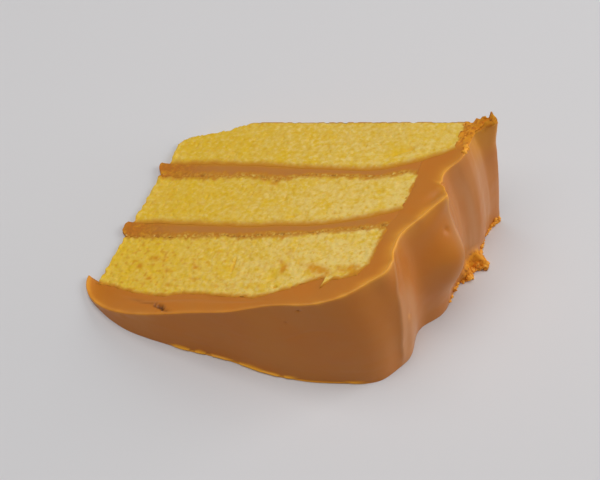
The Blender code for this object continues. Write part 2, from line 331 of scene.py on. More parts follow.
def mesh_piece(name, points, quads, values, material, nodes=()):
    """A finished piece from points and quads, with named values at its points for its material.
    It rides on the part, and stands for the nodes whose place it takes."""
    points = np.clip(points, CAD_LOW, CAD_HIGH)
    mesh = bpy.data.meshes.new(name)
    mesh.vertices.add(len(points))
    mesh.vertices.foreach_set("co", points.astype(np.float32).ravel())
    mesh.loops.add(quads.size)
    mesh.loops.foreach_set("vertex_index", quads.astype(np.int32).ravel())
    mesh.polygons.add(len(quads))
    mesh.polygons.foreach_set("loop_start", np.arange(0, quads.size, 4, dtype=np.int32))
    mesh.update(calc_edges=True)
    mesh.shade_smooth()
    for key, value in values.items():
        kept = mesh.attributes.new(key, "FLOAT", "POINT")
        kept.data.foreach_set("value", value.astype(np.float32))
    mesh.materials.append(material)
    piece = bpy.data.objects.new(name, mesh)
    bpy.context.scene.collection.objects.link(piece)
    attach(piece, "root")
    if nodes:
        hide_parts(*nodes)
    return piece


def length(name, description, millimetres):
    """A length property."""
    default = millimetres * MM
    return FloatProperty(
        name=name, description=description, default=default, unit="LENGTH", precision=5
    )


def angle(name, description, degrees):
    """An angle property."""
    default = math.radians(degrees)
    return FloatProperty(name=name, description=description, default=default, subtype="ANGLE")


def amount(name, description, default, subtype="NONE"):
    """A plain number property."""
    return FloatProperty(name=name, description=description, default=default, subtype=subtype)


def colour(name, description, default):
    """A colour property."""
    return FloatVectorProperty(
        name=name, description=description, default=default, size=3, subtype="COLOR"
    )


class SliceSizes(bpy.types.PropertyGroup):
    """Sizes of the slice that a user would change."""

    wedge_angle: angle("Wedge angle", "Angle between the two cut faces", 23.8)
    tip_thickness: length("Tip thickness", "Height of the blunt tip", 1.3)
    base_top: length("Base layer top", "Height of the base layer near the tip", 19.2)
    middle_bottom: length(
        "Middle layer underside", "Height of the middle layer's underside near the tip", 25.6
    )
    middle_top: length("Middle layer top", "Height of the middle layer's top near the tip", 45.5)
    upper_bottom: length(
        "Top layer underside", "Height of the top layer's underside near the tip", 51.8
    )
    upper_top: length("Top layer top", "Height of the top layer near the tip", 73.4)
    crown_height: length("Crown height", "Height of the iced top above the cake's base", 83.0)
    shoulder_radius: length("Shoulder radius", "Radius of the iced side at the top", 102.0)
    rim_radius: length("Rim radius", "Radius of the iced side at the base", 110.0)
    crumb_depth: length("Crumb depth", "Depth of the finest unevenness of the cut crumb", 0.1)
    bead_height: length(
        "Cut edge bead", "Height of the fine ridge the knife left along the icing's cut edge", 0.35
    )
    crumb_count: IntProperty(
        name="Loose crumbs",
        description="Number of crumbs that cling to the rim",
        default=190,
        min=1,
    )


class SliceColours(bpy.types.PropertyGroup):
    """Colours of the slice and its floor."""

    crumb: colour("Crumb", "Sponge crumb", (0.84, 0.56, 0.096))
    # Pale crumb is also painted light, where the sponge is drawn paler towards its outer end and top
    # layer
    crumb_pale: colour("Pale crumb", "Walls of the sponge's cells", (0.93, 0.68, 0.205))
    crumb_deep: colour("Deep crumb", "Denser, yellower patches of sponge", (0.85, 0.53, 0.016))
    pore: colour("Pores", "Shaded insides of the sponge's cells", (0.79, 0.46, 0.022))
    soaked: colour("Soaked crumb", "Crumb that caramel has soaked into", (0.62, 0.245, 0.018))
    dark: colour(
        "Dark crumb", "Crumb dark with caramel, in holes and between crumbs", (0.37, 0.135, 0.012)
    )
    # Golden soak also lightens the rear flare of the icing's outside, as painted light
    gold_soak: colour("Golden soak", "Crumb and tips bright with thin caramel", (0.72, 0.30, 0.012))
    crust: colour("Crust", "Baked skin of the cake's base", (0.52, 0.25, 0.06))
    filling: colour("Filling", "Core of the caramel filling", (0.56, 0.225, 0.042))
    icing: colour("Icing", "Outside of the caramel icing", (0.58, 0.185, 0.022))
    # Painted sheen and highlight on the icing's outside and along the cut face's seam, with some
    # smear
    sheen_and_smear: colour("Sheen and smear", "Paler, duller streaks on the icing's outside", (0.60, 0.25, 0.078))
    hole: colour("Hole", "Shaded inside of a hole in the icing", (0.15, 0.05, 0.01))
    icing_cut: colour("Cut icing", "Freshly cut caramel icing", (0.61, 0.20, 0.022))
    amber: colour("Amber", "Thin, clear caramel", (0.60, 0.19, 0.012))
    # Golden edge: thin caramel, and also the colour of the painted highlight along the cut edge and
    # the lip
    gold_and_highlight: colour("Golden edge", "Thin caramel that light shines through", (0.88, 0.38, 0.04))
    sliver: colour("Golden sliver", "Bare golden edge beside the floor", (1.0, 0.44, 0.03))
    crumb_gold: colour("Golden crumbs", "Caramel-coated crumbs at the rim", (0.82, 0.325, 0.018))
    floor: colour("Floor", "Pale stage floor", (0.695, 0.685, 0.695))


class StageSettings(bpy.types.PropertyGroup):
    """The camera's place and the lights."""

    azimuth: angle("Azimuth", "Camera's turn round the slice", 21.806)
    elevation: angle("Elevation", "Camera's height angle", 54.007)
    distance: length("Distance", "Camera's distance from what it looks at", 500.0)
    lens: amount("Lens", "Focal length in millimetres", 92.713)
    daylight: amount("Daylight", "Strength of the even light all round", 0.15)
    key_power: amount("Key power", "Power of the soft light above", 5.1, "POWER")
    side_power: amount("Side power", "Power of the light from the side", 5.8, "POWER")


class SliceForm:
    """The slice's layers, fillings and icing as functions of r, k and s."""

    def __init__(self, sizes):
        self.angle = sizes.wedge_angle
        self.tip = sizes.tip_thickness
        self.sizes = sizes
        self.base_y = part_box("sponge_base")[1].y
        self.axis_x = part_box("icing")[0].x + NOSE_REACH - NOSE_START
        self.out = np.array([-math.sin(self.angle), 0.0, math.cos(self.angle)])
        self.path, self.length = self.plain_outline()
        self.slope = np.gradient(self.path, self.length, axis=0)

    def place(self, r, k, s):
        """World place of (r, k, s): r turned by s of the wedge angle about the axis, with the
        height of a hyperbola that leaves the tip blunt."""
        turn = s * self.angle
        height = np.hypot(np.maximum(r, 0.0) * math.sin(self.angle), self.tip)
        z = height * np.sin(turn) / math.sin(self.angle)
        return np.stack([self.axis_x + r * np.cos(turn), self.base_y - k, z], axis=-1)

    def base_bottom(self, r):
        """Flat, with a corner torn away at the tip: straight lines between its torn points."""
        return np.interp(r, TORN_RADII, TORN_HEIGHTS)

    def base_top(self, r):
        """Level, with a rise at the tip, a slow rise and a fall towards the outer edge."""
        rise = MM * (0.5 + 1.4 * rising(r, 30, 70) + 1.2 * hill(r, 0, 6))
        return self.sizes.base_top + rise - droop(r, 80, 105, 9.0, 1.6)

    def middle_bottom(self, r):
        """Level, settling outwards, with one bump up and one pressed edge."""
        rise = MM * (1.9 * hill(r, 48, 6) - 2.0 * rising(r, 8, 58) - 2.2 * hill(r, 93, 6))
        return self.sizes.middle_bottom + rise

    def middle_top(self, r):
        """Level, with a rise at the tip, falling towards the outer edge."""
        rise = MM * (0.4 * falling(r, 40, 60) + 1.2 * hill(r, 0, 6) - 1.0 * rising(r, 45, 62))
        return self.sizes.middle_top + rise - droop(r, 66, 97, 7.7, 1.5)

    def upper_bottom(self, r):
        """Level, settling and falling outwards."""
        fall = 2.0 * MM * rising(r, 8, 42) + droop(r, 48, 94, 6.2, 1.1)
        return self.sizes.upper_bottom - fall

    def upper_top(self, r):
        """Domed near the tip and low over the shoulder."""
        rise = MM * (1.9 * hill(r, 24, 11) - 1.3 * hill(r, 0, 8) - 11.5 * rising(r, 58, 90))
        return self.sizes.upper_top + rise

    def bore(self, k):
        """Radius of the icing's inner wall: wider below by one S-curve, narrower above by another."""
        step = (MIDDLE_END - UPPER_END) * falling(k, 38, 46)
        return UPPER_END + step - 3.0 * MM * rising(k, 57, 62.5)

    def layer_end(self, bottom, top):
        """A layer's outer radius as a function of w, 0 at its top and 1 at its underside."""
        low, high = bottom(UPPER_END), top(UPPER_END)
        return lambda w: self.bore(high + w * (low - high))

    def plain_outline(self):
        """The icing's outline before its relief: a quarter ellipse, then a superellipse of power
        5 whose reach grows from the shoulder to the rim. Gives (r, k) and the length so far."""
        turn = np.linspace(math.pi, math.pi / 2, 60)
        crown = self.sizes.crown_height
        nose_r = NOSE_START + NOSE_REACH * np.cos(turn)
        nose_k = crown - NOSE_DROP + NOSE_DROP * np.sin(turn)
        turn = np.linspace(math.pi / 2, 0.0, 2400)
        k = crown * np.sin(turn) ** 0.4
        shoulder, rim = self.sizes.shoulder_radius, self.sizes.rim_radius
        r = (shoulder + (rim - shoulder) * (1.0 - k / crown)) * np.cos(turn) ** 0.4
        past = r > NOSE_START
        path = np.stack([np.append(nose_r, r[past]), np.append(nose_k, k[past])], axis=-1)
        steps = np.hypot(*np.diff(path, axis=0).T)
        return path, np.append(0.0, np.cumsum(steps))

    def inner(self, u):
        """(r, k) on the icing's inner side: along the top layer, down the bore, over the shelf and
        down, with its two corners at fixed shares of u."""
        over = np.linspace(INNER_START, self.bore(BORE_NARROW), 200)
        top_k = self.upper_top(over) + CLEARANCE
        shelf_r = np.linspace(MIDDLE_END, BASE_END, 40)
        shelf_k = self.base_top(shelf_r) + CLEARANCE
        down = np.linspace(BORE_TOP, shelf_k[0], 120)
        r = np.concatenate([over[:1], over, self.bore(down), shelf_r, shelf_r[-1:]])
        k = np.concatenate([top_k[:1] - 1.0 * MM, top_k, down, shelf_k, np.zeros(1)])
        so_far = np.append(0.0, np.cumsum(np.hypot(np.diff(r), np.diff(k))))
        corners = [0.0, so_far[len(over)], so_far[-2], so_far[-1]]
        matched = np.interp(u, [0.0, SHOULDER_SHARE, SHELF_SHARE, 1.0], corners)
        return np.stack([np.interp(matched, so_far, r), np.interp(matched, so_far, k)])

    def beside_sponge(self, r, k):
        """1 where the icing's inner side meets sponge and 0 where it meets one of the fillings."""
        fillings = ((self.base_top, self.middle_bottom), (self.middle_top, self.upper_bottom))
        bands = [
            rising(k - low(r), -0.2, 0.5) * falling(k - high(r), -0.5, 0.2)
            for low, high in fillings
        ]
        return 1.0 - np.maximum(*bands)

    def lip_line(self, s):
        """b of the lip's crest: it falls in an S-curve towards the upper cut face."""
        return MM * (40 - 9.5 * smooth(s, 0.3, 1.0))

    def crease_line(self, s):
        """b of the crease between the front and the side, as straight lines across the icing."""
        return np.interp(s, CREASE_SHARES, CREASE_PLACES)

    def swell(self, b, s):
        """The lip round the side: a bump long on its upper side and short below its crest, where a
        cusp makes it crisp. It is fullest between the cut faces and pointed at the upper one."""
        crest = self.lip_line(s)
        full = 5.5 * bump(s, 0.58, np.where(s < 0.58, 0.28, 0.17))
        height = MM * (1.0 + full + 1.5 * bump(s, 1.0, 0.1))
        above = 10 - 5.3 * smooth(s, 0.85, 1.0)
        below = 4.0 - 1.8 * smooth(s, 0.6, 0.95)
        cusp = 0.4 * MM * smooth(s, 0.2, 0.5) * np.exp(-np.abs(b - crest) / (0.9 * MM))
        return height * hill(b - crest, 0.0, np.where(b > crest, above, below)) + cusp

    def fringe(self, b, s):
        """Crumbs that cling to the edge beside the floor: two bumps that fade upwards."""
        return 7.4 * MM * fade(s, 0.0, 0.16) * (hill(b, 19.5, 2.4) + 0.5 * hill(b, 25.2, 2.6))

    def relief(self, b, s):
        """How far the icing stands out from its plain outline: a sum of bumps along it."""
        crown = 1.3 * MM * (1.0 - s) * rising(b, 60, 75) * falling(b, 145, 165)
        flare = (0.5 + 4.1 * s**2.6 + (1.0 - s) ** 6) * MM * falling(b, 0, 6)
        out = crown + flare + self.swell(b, s) + self.fringe(b, s)
        for low, high, low_place, high_place, low_width, high_width in ICING_BUMPS:
            place = low_place + (high_place - low_place) * s
            width = low_width + (high_width - low_width) * s
            out = out + (low + (high - low) * s) * MM * hill(b, place, width)
        return out

    def fine_relief(self, b, s, height):
        """What the knife and spatula left: a creased ridge as a cusp, soft lumps, streaks along the
        front and across the side, and pits, a crease and wrinkles. height is above the floor."""
        span = np.stack([b, height, np.zeros_like(b)], axis=-1)
        past = b - self.crease_line(s)
        ridge = 0.6 * MM * np.exp(-np.abs(past) / (1.0 * MM)) * smooth(s, 0.0, 0.15)
        ridge -= 0.35 * MM * hill(past, -2.6, 1.5) * smooth(s, 0.0, 0.2)
        soft = lumps(span, (0.16, 9, 11), (0.05, 3, 12))
        streaks = rising(b, 66, 74) * lumps(span * (0.11, 1.0, 1.0), (0.035, 1.3, 13))
        across = lumps(span * (1.0, 0.09, 1.0), (0.045, 0.9, 14))
        slow_across = lumps(span * (1.0, 0.12, 1.0), (0.09, 2.4, 15))
        streaks += falling(b, 27, 33) * (across + slow_across)
        crease_line = 0.62 + 0.06 * np.sin((b - 80 * MM) / (4.5 * MM))
        crease = -0.14 * MM * hill(b, 91, 9) * bump(s, crease_line, 0.018)
        step = 0.5 * hill(b, 27.6, 0.6) - 0.9 * hill(b, 26.2, 0.6)
        knife_end = MM * step * smooth(s, 0.96, 0.99)
        wave = np.sin(height / (0.42 * MM) + b / (1.2 * MM))
        wrinkles = 0.08 * MM * hill(b, 36.4, 2.6) * bump(s, 0.75, 0.06) * wave
        out = ridge + soft + streaks + crease + knife_end + wrinkles
        for depth, place, width, share, reach in OUTSIDE_MARKS:
            out = out + depth * MM * hill(b, place, width) * bump(s, share, reach)
        return out

    def outer(self, b, s, fine=True):
        """(r, k) on the icing's outside: the plain outline moved out by the relief."""
        along = self.length[-1] - b
        columns = (*self.path.T, *self.slope.T)
        r, k, slope_r, slope_k = (np.interp(along, self.length, column) for column in columns)
        tilt = np.hypot(slope_r, slope_k)
        out = self.relief(b, s)
        if fine:
            out = out + self.fine_relief(b, s, r * s * self.angle)
        return r - slope_k / tilt * out, np.maximum(k + slope_r / tilt * out, 0.0)


def cut_swell(points):
    """Broad unevenness that the knife left across sponge, filling and icing alike, as noise."""
    return lumps(points, (0.22, 12, 60))


def rough(points, seed, depth):
    """Unevenness of cut sponge: noise at four sizes, less pores where a fifth noise peaks."""
    grain = depth / MM * lumps(points, (1.0, 1.15, seed + 2), (0.55, 0.6, seed + 3))
    pores = 0.22 * MM * smooth(noise_at(points, 1.0, seed + 4), 0.5, 0.9)
    return cut_swell(points) + lumps(points, (0.09, 3.2, seed + 1)) + grain - pores


def tooth_and_ledge(r, s):
    """Shares of the tooth's height at the top layer's iced border, near the upper cut face: a cusp
    that falls away exponentially on both sides, and the same with a flat ledge beyond it."""
    flank = np.where(r < TOOTH_RADIUS, *TOOTH_FLANKS)
    tooth = np.exp(-np.abs(r - TOOTH_RADIUS) / flank)
    ledge = LEDGE_SHARE * rising(r, 82.8, 83.8) * falling(r, 87, 95)
    upwards = smooth(s, 0.9, 1.0)
    return tooth * upwards, np.maximum(tooth, ledge) * upwards


def sponge_layer(form, name, cells, edges, node, material, seed):
    """One layer: u from tip to end, w from top to underside, s across, then moved along its own
    normals by the crumb's unevenness. Its borders wander by noise, and the iced one has a tooth."""
    bottom, top, end, iced_top = edges
    u, w, s, quads = lattice(cells, (0.0, 0.02, 0.0))
    limit = end(w)
    tip = LAYER_TIP + (BASE_TIP_LEAN if node == "sponge_base" else 0.0) * (1.0 - w)
    r = tip + u * (limit - tip)
    line = np.stack([r, np.zeros_like(r), s * 20 * MM], axis=-1)
    ragged = lumps(line, (0.5, 1.5, seed + 7), (0.35, 0.7, seed + 8))
    gentle = lumps(line, (0.3, 3.0, seed + 9))
    high = top(r) + gentle
    if iced_top:
        tooth, ledge = tooth_and_ledge(r, s)
        high = high + TOOTH_HEIGHT * ledge + 0.5 * gentle
        r = r - TOOTH_LEAN * tooth * (1.0 - w) ** 6
        low = bottom(r) + ragged
        k = high + w**0.96 * (low - high)
    else:
        low = bottom(r) + ragged * rising(bottom(r), 0, 1)
        k = high + w * (low - high)
    points = form.place(r, k, s)

    on_cut = smooth(s, 0.97, 1.0)
    pits = spots(r, k, PITS) * on_cut
    crusty = falling(k, 0.15, 0.8) * (r > 8 * MM)
    depth = rough(points, seed, (1.6 if iced_top else 1.0) * form.sizes.crumb_depth)
    near_top = falling(high - k, 0.5, 1.7) * (0.0 if iced_top else 1.0)
    depth = depth + near_top * (cut_swell(points) - depth)
    ragged_tip = lumps(points, (0.45, 1.6, seed + 5)) * fade(u, 0.0, 0.03)
    chipped = on_cut * crusty * (0.12 * MM + lumps(points, (0.5, 1.6, seed + 5)))
    rise = np.where(crusty > 0.5, 0.35 * np.minimum(depth, 0.1 * MM), depth)
    rise = rise + ragged_tip - pits - np.maximum(chipped, 0.0)
    if iced_top:
        rise = rise + TOOTH_PROUD * on_cut * ledge * falling(high - k, 2, 5)
    facing = point_normals(points, quads)
    level = (near_top * (s > 0.999))[:, None]
    points = points + (facing + level * (form.out - facing)) * rise[:, None]
    points[:, 2] = np.maximum(points[:, 2], 2.0 * LAYER_GAP)

    wander = lumps(points, (0.5, 2.0, seed + 6))
    fine_wander = lumps(points, (0.35, 0.8, seed + 5))
    to_top = high - k + 0.6 * wander + 0.4 * fine_wander
    to_bottom = k - low + 1.3 * wander + 1.3 * fine_wander
    to_end = limit - r + 0.6 * wander + fine_wander
    if iced_top:
        soak = falling(np.minimum(to_top, to_end), 0.3, 2.0)
    else:
        soak = np.maximum(falling(to_top, 0, 3), falling(to_end, 0, 0.9))
    if node != "sponge_base":
        soak = np.maximum(soak, 0.9 * falling(to_bottom, 0, 1.7))
    tinge = smooth(noise_at(points, 1.1, seed + 12), 0.3, 0.75)
    tinge *= (0.3 + 0.7 * falling(r, 20, 70)) * (0.35 + 0.65 * rising(k, 40, 60))
    stain = spots(r, k, STAINS) * (1.3 + noise_at(points, 1.2, seed + 4))
    patches = spots(r, k, DEEP_PATCHES) * (0.8 + 0.5 * noise_at(points, 1.8, seed + 3))
    values = {
        "tinge": tinge,
        "soak": soak,
        "stain": np.clip(stain, 0.0, 1.0),
        "deep": np.clip(0.5 * falling(r, 12, 66) + patches, 0.0, 1.0),
        "crust": crusty,
        # Painted light: paler towards the outer end and the top layer, where more light falls
        "pale": 0.7 * rising(r, 35, 95) * rising(k, -30, 60) + 0.25 * rising(k, 20, 70),
        "height": (depth - pits) / MM,
    }
    return mesh_piece(name, points, quads, values, material, (node,))


def filling_band(form, name, edges, tongue, node, material, seed):
    """One filling: u from tip to end, w from its upper border to its lower one, reaching a little
    into the sponge on both sides, with noise along the upper border's crumb. tongue gives its tip:
    where, how far it leans and how round."""
    bottom, top = edges
    tip, lean, roundness = tongue
    u, w, s, quads = lattice(FILLING_CELLS, (0.0, 0.06, 0.05))
    limit = form.layer_end(bottom, top)(w) + OVERLAP
    start = tip + lean * (0.5 - w) + roundness * np.abs(2.0 * w - 1.0) ** 3
    r = start + u * (limit - start)
    high = top(r) + OVERLAP
    low = bottom(r) - OVERLAP
    points = form.place(r, high + w * (low - high), s)
    inset = np.minimum(w, 1.0 - w) * np.abs(high - low)
    on_cut = (s > 0.999).astype(float)
    sink = np.where(w < 0.5, 0.22 * MM, 0.09 * MM) * falling(inset, 0, 1)
    sink += 0.2 * MM * rising(r - limit, -2, 0)
    proud = 0.45 * MM * falling(r, 1, 7)
    surface = cut_swell(points) + lumps(points, (0.05, 3.0, seed)) * rising(inset, 0.3, 1.5)
    surface += fade(w, 0.2, 0.45) * lumps(points, (0.16, 0.9, seed + 2), (0.1, 0.5, seed + 1))
    points = points + form.out * (on_cut * (surface + proud - sink))[:, None]
    points[:, 0] += fade(u, 0.0, 0.015) * lumps(points, (0.35, 1.2, seed + 3))
    points[:, 2] = np.maximum(points[:, 2], LAYER_GAP)
    wander = 0.14 * noise_at(points, 2.4, seed + 5) + 0.1 * noise_at(points, 0.9, seed + 6)
    values = {
        "core": smooth(w + wander, 0.3, 0.5) * fade(w, 0.7, 0.92) * rising(r, 3, 14),
        "crumbly": fade(w + wander, 0.05, 0.4) * falling(r, 92, 99),
        "end": rising(r, 84, 94) * smooth(w, 0.2, 0.5),
        "tip": falling(r, 2, 24),
        "bits": smooth(noise_at(points, 0.9, seed + 4), 0.5, 0.75) * fade(w, 0.15, 0.3),
    }
    return mesh_piece(name, points, quads, values, material, (node,))


def torn_horns(b, w, s):
    """How far the icing's torn upper corner reaches up and out: straight lines through the horns'
    heights, with noise, fading along the icing and away from the upper cut face."""
    up = np.interp(w, HORN_SHARES, HORN_HEIGHTS) * (1.0 - 0.4 * rising(b, 0, 1.5))
    up = up + lumps(beside(b, w * 6 * MM), (0.5, 0.9, 31))
    out = 1.0 * MM * fade(w, 0.05, 0.16) * falling(b, 0, 2.5)
    share = falling(b, 0, 7) * smooth(s, 0.8, 1.0)
    return np.stack([out, np.zeros_like(b), up], axis=-1) * share[:, None]


def foot_sliver(b, height, w):
    """Share of bare golden icing beside the floor: bumps in height, thick or thin as noise along
    the foot says, over the front of the icing."""
    foot_noise = noise_at(beside(b), 2.4, 36)
    thick = (rising(b, 95, 99) + 0.8 * hill(b, 79.5, 2.2)) * smooth(foot_noise, -0.75, -0.3)
    thick *= hill(height, 0.5, 0.36 + 0.3 * smooth(foot_noise, -0.2, 0.6))
    thin = 0.6 * hill(height, 0.1, 0.28)
    return rising(b, 74, 78) * falling(b, 134, 138) * np.maximum(thick, thin) * (w < 0.08)


def sheen_and_smear(form, b, s):
    """Share of paler, duller icing, most of it painted sheen and highlight: painted sheen on the side
    of the crease and in streaks behind the lip, a painted highlight along the crease's ridge and the
    lip's edge, and a smear on the front by the tip, as S-curves and bumps."""
    past = b - form.crease_line(s)
    # Painted sheen: the side past the crease drawn lighter, as light from the right would make it
    crease = rising(b, 51.5, 55) * falling(past, -1.0, 0.3) * (1.0 - 0.85 * smooth(s, 0.55, 0.8))
    lip = hill(b - form.lip_line(s), 0.0, 1.4) * smooth(s, 0.15, 0.4)
    smear = noise_at(beside(b, s * 4 * MM), 2.2, 41)
    behind = (0.3 + 0.45 * smear) * falling(b, 25, 30) * fade(s, 0.75, 0.95)
    front = (0.5 + 0.5 * smear) * hill(b, 152, 10) * bump(s, 0.87, 0.1)
    line = 0.9 * hill(past, 0.15, 0.45)
    return 0.75 * crease + line + lip + behind + front + 0.5 * hill(b, 19, 4)


def torn_edge(b, s):
    """Share of crumb on the torn edge of the icing, near the rim on the upper cut face."""
    on_face = falling(b, 7, 13) * smooth(s, 0.99, 1.0)
    return np.maximum(on_face, falling(b, 1.5, 4.5) * smooth(s, 0.95, 0.985))


def icing_shell(form, name, material):
    """The icing: u from nose to rim, w from its outside in, s across. The outside is the outline
    moved out by its relief, the inside the layers' own line, and w blends the two straight. The
    upper cut face has a bead, lumps, grooves, a hole and a seam, and torn crumb has noise."""
    u, w, s, quads = lattice(ICING_CELLS, (0.0, 0.11, 0.1))
    b = form.length[-1] * (1.0 - u)
    outer = np.stack(form.outer(b, s))
    inward = form.inner(u) - outer
    thick = np.hypot(*inward)
    spot = outer + w * (1.0 + 2.0 * OVERLAP / thick) * inward
    spot[1] = np.maximum(spot[1], 0.0)
    points = form.place(*spot, s) + torn_horns(b, w, s)

    depth = w * thick
    on_cut = (s > 0.999).astype(float)
    outside = w < 0.001
    strength = np.interp(b, BEAD_PLACES, BEAD_STRENGTHS)
    glow = np.interp(b, GLOW_PLACES, GLOW_STRENGTHS)
    beside_sponge = form.beside_sponge(*spot)
    bead = form.sizes.bead_height * hill(depth, 0.35, 0.45) * strength
    waves = cut_swell(points) + lumps(points, (0.1, 6, 33), (0.04, 1.8, 34))
    grooves = lumps(beside(b * 0.12, depth), (0.05, 0.9, 35))
    crumbled = 1.2 + 1.3 * noise_at(points, 0.7, 39)
    hole = np.clip(spots(*spot, CUT_HOLE) * crumbled, 0.0, 1.0)
    streak = spots(*spot, CUT_STREAK)
    seam = hill((1.0 - w) * thick, 2.5, 0.3) * rising(b, 98, 108) * falling(b, 152, 165)
    lift = bead + waves + grooves + spots(*spot, CUT_RELIEF)
    lift = lift - HOLE_DEPTH * hole - STREAK_DEPTH * streak
    lift -= MM * (0.1 * smooth(w, 0.88, 1.0) * beside_sponge + 0.14 * seam)
    points = points + form.out * (on_cut * lift)[:, None]

    fringe = smooth(form.fringe(b, s) / MM, 0.2, 1.5) * fade(w, 0.2, 0.5)
    sliver = foot_sliver(b, points[:, 2], w)
    crumbs = np.clip(fringe + torn_edge(b, s), 0.0, 1.0)
    shift = crumbs * lumps(points, (0.55, 1.5, 37), (0.33, 0.8, 38)) + 0.7 * MM * sliver
    points = points + point_normals(points, quads) * shift[:, None]

    # Golden thin caramel and a painted highlight along the cut edge, a painted highlight along the
    # lip's edge, and painted light on the rear flare
    patchy = 0.8 + 0.35 * noise_at(beside(b), 2.6, 32)
    below = (1.0 - s) * form.angle * spot[0]
    edge = np.maximum(
        on_cut * (0.75 * hill(depth, 0.4, 0.75) + glow * hill(depth, 0.0, 2.3)),
        outside * (0.75 * hill(below, 0.0, 0.5) + 0.35 * glow * hill(below, 0.0, 2.5)),
    )
    lip = 0.75 * hill(b - form.lip_line(s), 0.0, 0.7) * smooth(s, 0.82, 0.97)
    # Thin caramel and painted light: the flare by the rim at the upper cut face, drawn lighter and
    # more golden where it faces away from the lamps
    rear_thin_and_lit = falling(b, 5, 15) * smooth(s, 0.7, 0.98)
    fleck = hill(b, 59.2, 0.5) * bump(s, 0.455, 0.022)
    gold_and_highlight = edge * strength * patchy + outside * (lip + 0.3 * rear_thin_and_lit + 0.8 * fleck)
    values = {
        "cut": np.maximum(on_cut, (s < 0.001).astype(float)),
        "gold_and_highlight": np.clip(gold_and_highlight, 0.0, 1.0),
        "sliver": np.clip(1.3 * sliver, 0.0, 1.0),
        # Painted sheen and highlight on the outside, and a painted highlight along the seam on the
        # cut face
        "sheen_and_smear": np.clip(sheen_and_smear(form, b, s) * outside + 0.7 * on_cut * seam, 0.0, 1.0),
        # Painted light as well as thin caramel on the rear flare
        "thin": rear_thin_and_lit,
        "soak": on_cut * smooth(w, 0.9, 0.97) * beside_sponge,
        "crumb": crumbs,
        "tip": rising(b, 150, 172),
        # Painted shade: the hole's shaded colour in the hole, and half of it in the streak
        "pit": np.clip(on_cut * (hole + 0.5 * streak), 0.0, 1.0),
    }
    return mesh_piece(name, points, quads, values, material, ("icing",))


def crumb_heap(name, centres, radii, material, seed):
    """Loose crumbs: small closed blocks blown up to balls, each pushed in and out by noise."""
    u, w, s, quads = lattice(CRUMB_CELLS)
    ball = np.stack([u, w, s], axis=-1) - 0.5
    ball /= np.linalg.norm(ball, axis=1, keepdims=True)
    count = len(centres)
    drift = np.random.default_rng(seed).random((count, 1, 3)) * 40.0
    squash = 0.65 + 0.7 * np.random.default_rng(seed + 1).random((count, 1, 3))
    probe = (ball[None] + drift).reshape(-1, 3) * MM
    swell = 1.0 + 0.42 * noise_at(probe, 0.75, seed + 2) + 0.25 * noise_at(probe, 0.4, seed + 3)
    points = ball[None] * swell.reshape(count, -1, 1) * squash * radii[:, None, None]
    points = points + centres[:, None]
    everything = (quads[None] + (np.arange(count) * len(ball))[:, None, None]).reshape(-1, 4)
    values = {"tone": np.repeat(np.random.default_rng(seed + 4).random(count), len(ball))}
    return mesh_piece(name, points.reshape(-1, 3), everything, values, material)


class Finish:
    """A new material, with short calls for the nodes that the finishes share. Colours are sockets
    or three numbers."""

    def __init__(self, name):
        self.material = bpy.data.materials.new(name)
        self.material.use_nodes = True
        self.tree = self.material.node_tree
        self.shader = self.tree.nodes["Principled BSDF"]

    def fill(self, node, inputs):
        """Joins or sets a node's inputs."""
        for key, value in inputs.items():
            if isinstance(value, bpy.types.NodeSocket):
                self.tree.links.new(value, node.inputs[key])
            else:
                node.inputs[key].default_value = value
        return node

    def add(self, kind, inputs=None, **settings):
        """A node with its settings and inputs."""
        node = self.tree.nodes.new("ShaderNode" + kind)
        for key, value in settings.items():
            setattr(node, key, value)
        return self.fill(node, inputs or {})

    def place(self):
        """The place on the piece, in metres."""
        return self.add("TexCoord").outputs["Object"]

    def value(self, name, share=1.0):
        """A value kept at the piece's points, or a share of it."""
        value = self.add("Attribute", attribute_name=name).outputs["Fac"]
        if share == 1.0:
            return value
        return self.maths("MULTIPLY", value, share)

    def noise(self, vector, scale, detail=2.0, roughness=0.5):
        """Noise with lumps about one over scale metres across."""
        inputs = {"Vector": vector, "Scale": scale, "Detail": detail, "Roughness": roughness}
        return self.add("TexNoise", inputs).outputs["Fac"]

    def remap(self, value, low, high, start=0.0, end=1.0):
        """value from low..high to start..end, held at both ends."""
        inputs = {"Value": value, "From Min": low, "From Max": high, "To Min": start, "To Max": end}
        return self.add("MapRange", inputs).outputs["Result"]

    def maths(self, operation, first, second):
        """first and second joined by one operation."""
        return self.add("Math", {0: first, 1: second}, operation=operation).outputs[0]

    def blend(self, share, first, second):
        """The colour first where share is 0 and second where it is 1."""
        ends = [
            end if isinstance(end, bpy.types.NodeSocket) else (*end, 1.0)
            for end in (first, second)
        ]
        return self.add("Mix", {0: share, 6: ends[0], 7: ends[1]}, data_type="RGBA").outputs[2]

    def over(self, base, name, colour, share=1.0):
        """base with a colour over it, as far as the named value at the piece's points says."""
        return self.blend(self.value(name, share), base, colour)

    def finish(self, base, height, strength, depth, shader_inputs):
        """The material, with its colour, a bump and the shader's other inputs."""
        bumps = {"Height": height, "Strength": strength, "Distance": depth * MM}
        normal = self.add("Bump", bumps).outputs["Normal"]
        self.fill(self.shader, {"Base Color": base, "Normal": normal, **shader_inputs})
        return self.material


def glowing(weight, *radius):
    """Shader inputs for light that goes a little way in, its reach by colour in millimetres."""
    reach = tuple(far * MM for far in radius)
    return {"Subsurface Weight": weight, "Subsurface Radius": reach, "Subsurface Scale": 1.0}


